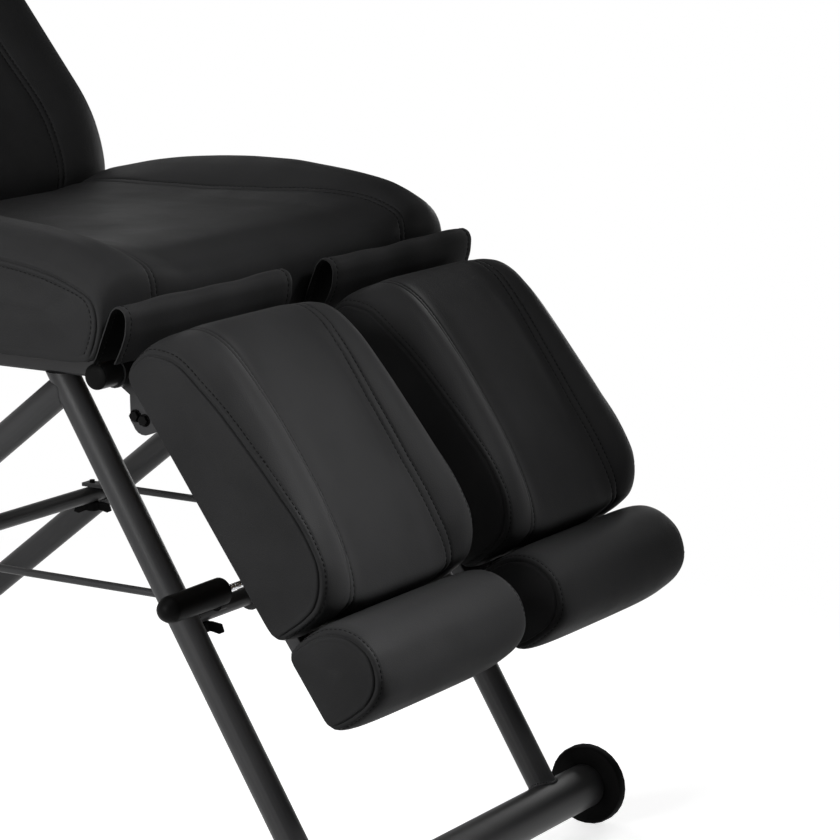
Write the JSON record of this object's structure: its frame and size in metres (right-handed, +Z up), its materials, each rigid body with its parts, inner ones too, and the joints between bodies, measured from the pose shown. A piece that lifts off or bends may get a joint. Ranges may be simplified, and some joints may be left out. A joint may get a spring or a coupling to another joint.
{
  "type": "beauty treatment chair",
  "caption": "Padded treatment chair on an A-shaped tube base, with reclining backrest, separately lifting leg rests, sliding foot cushions and release levers.",
  "frame": {"origin": "on the floor under the middle of the bounding box", "axes": "+X towards the feet, +Y to the sitter's left, +Z up"},
  "size_m": [1.2299, 0.633, 1.2039],
  "materials": {
    "frame_coat": "satin black powder coat",
    "upholstery": "black leatherette with fine grain and double seams",
    "plywood": "bare plywood carrier boards",
    "rubber": "matt black rubber",
    "grip": "black moulded plastic",
    "bright_steel": "bright plated steel rod"
  },
  "bodies": {
    "base": {"front_leg_right": "frame_coat", "front_leg_left": "frame_coat", "rear_leg_right": "frame_coat", "rear_leg_left": "frame_coat", "front_floor_bar": "frame_coat", "rear_floor_bar": "frame_coat", "floor_cap_front_right": "rubber", "floor_cap_front_left": "rubber", "floor_cap_rear_right": "rubber", "floor_cap_rear_left": "rubber", "front_cross_tube": "frame_coat", "rear_cross_tube": "frame_coat", "spreader_rod_right": "frame_coat", "spreader_rod_left": "frame_coat", "wing_screw_front_right": "grip", "wing_screw_front_left": "grip", "wing_screw_rear_right": "grip", "wing_screw_rear_left": "grip", "seat_rail_right": "frame_coat", "seat_rail_left": "frame_coat", "seat_cross_bar": "frame_coat", "leg_hinge_tube": "frame_coat", "back_hinge_tube": "frame_coat", "seat_board": "plywood", "seat_cushion": "upholstery", "flap_right": "upholstery", "flap_left": "upholstery"},
    "backrest": {"back_rail_right": "frame_coat", "back_rail_left": "frame_coat", "back_cross_bar": "frame_coat", "back_board": "plywood", "back_cushion": "upholstery"},
    "leg_rest_right": {"leg_rail_outer_right": "frame_coat", "leg_rail_inner_right": "frame_coat", "leg_board_right": "plywood", "leg_pad_right": "upholstery", "strut_lug_right": "frame_coat"},
    "foot_rest_right": {"foot_slide_outer_right": "bright_steel", "foot_slide_inner_right": "bright_steel", "foot_board_right": "plywood", "foot_cushion_right": "upholstery"},
    "strut_right": {"strut_barrel_right": "frame_coat"},
    "strut_piston_right": {"strut_rod_right": "bright_steel"},
    "lever_right": {"lever_arm_right": "frame_coat", "lever_rod_right": "bright_steel", "lever_grip_right": "grip"},
    "leg_rest_left": {"leg_rail_outer_left": "frame_coat", "leg_rail_inner_left": "frame_coat", "leg_board_left": "plywood", "leg_pad_left": "upholstery", "strut_lug_left": "frame_coat"},
    "foot_rest_left": {"foot_slide_outer_left": "bright_steel", "foot_slide_inner_left": "bright_steel", "foot_board_left": "plywood", "foot_cushion_left": "upholstery"},
    "strut_left": {"strut_barrel_left": "frame_coat"},
    "strut_piston_left": {"strut_rod_left": "bright_steel"},
    "lever_left": {"lever_arm_left": "frame_coat", "lever_rod_left": "bright_steel", "lever_grip_left": "grip"}
  },
  "joints": [
    {"name": "backrest_recline", "type": "hinge", "parent": "base", "child": "backrest", "pos_m": [-0.195, 0, 0.557], "axis": [0, -1, 0], "range_deg": [0, 52]},
    {"name": "leg_lift_right", "type": "hinge", "parent": "base", "child": "leg_rest_right", "pos_m": [0.29, -0.164, 0.557], "axis": [0, -1, 0], "range_deg": [0, 36], "deforming": ["flap_right"]},
    {"name": "foot_extend_right", "type": "slide", "parent": "leg_rest_right", "child": "foot_rest_right", "axis": [0.5807, 0, -0.8141], "range_m": [0, 0.1]},
    {"name": "strut_turn_right", "type": "hinge", "parent": "base", "child": "strut_right", "pos_m": [0.33419, -0.06, 0.3135], "axis": [0, -1, 0], "range_deg": [-3, 0]},
    {"name": "strut_extend_right", "type": "slide", "parent": "strut_right", "child": "strut_piston_right", "axis": [-0.059, 0, 0.9983], "range_m": [0, 0.024]},
    {"name": "lever_pull_right", "type": "hinge", "parent": "base", "child": "lever_right", "pos_m": [0.33419, -0.098, 0.3135], "axis": [0, -1, 0], "range_deg": [0, 10], "stiffness_Nm_per_rad": 0.6, "springref_deg": -9.74},
    {"name": "leg_lift_left", "type": "hinge", "parent": "base", "child": "leg_rest_left", "pos_m": [0.29, 0.164, 0.557], "axis": [0, -1, 0], "range_deg": [0, 36], "deforming": ["flap_left"]},
    {"name": "foot_extend_left", "type": "slide", "parent": "leg_rest_left", "child": "foot_rest_left", "axis": [0.5807, 0, -0.8141], "range_m": [0, 0.1]},
    {"name": "strut_turn_left", "type": "hinge", "parent": "base", "child": "strut_left", "pos_m": [0.33419, 0.06, 0.3135], "axis": [0, -1, 0], "range_deg": [-3, 0]},
    {"name": "strut_extend_left", "type": "slide", "parent": "strut_left", "child": "strut_piston_left", "axis": [-0.059, 0, 0.9983], "range_m": [0, 0.024]},
    {"name": "lever_pull_left", "type": "hinge", "parent": "base", "child": "lever_left", "pos_m": [0.33419, 0.098, 0.3135], "axis": [0, -1, 0], "range_deg": [0, 10], "stiffness_Nm_per_rad": 0.6, "springref_deg": -9.74}
  ],
  "couplings": [
    {"joint": "strut_turn_right", "follows": "leg_lift_right", "ratio": -0.07361},
    {"joint": "strut_extend_right", "follows": "leg_lift_right", "m_per_rad": 0.03691},
    {"joint": "strut_turn_left", "follows": "leg_lift_left", "ratio": -0.07361},
    {"joint": "strut_extend_left", "follows": "leg_lift_left", "m_per_rad": 0.03691}
  ]
}
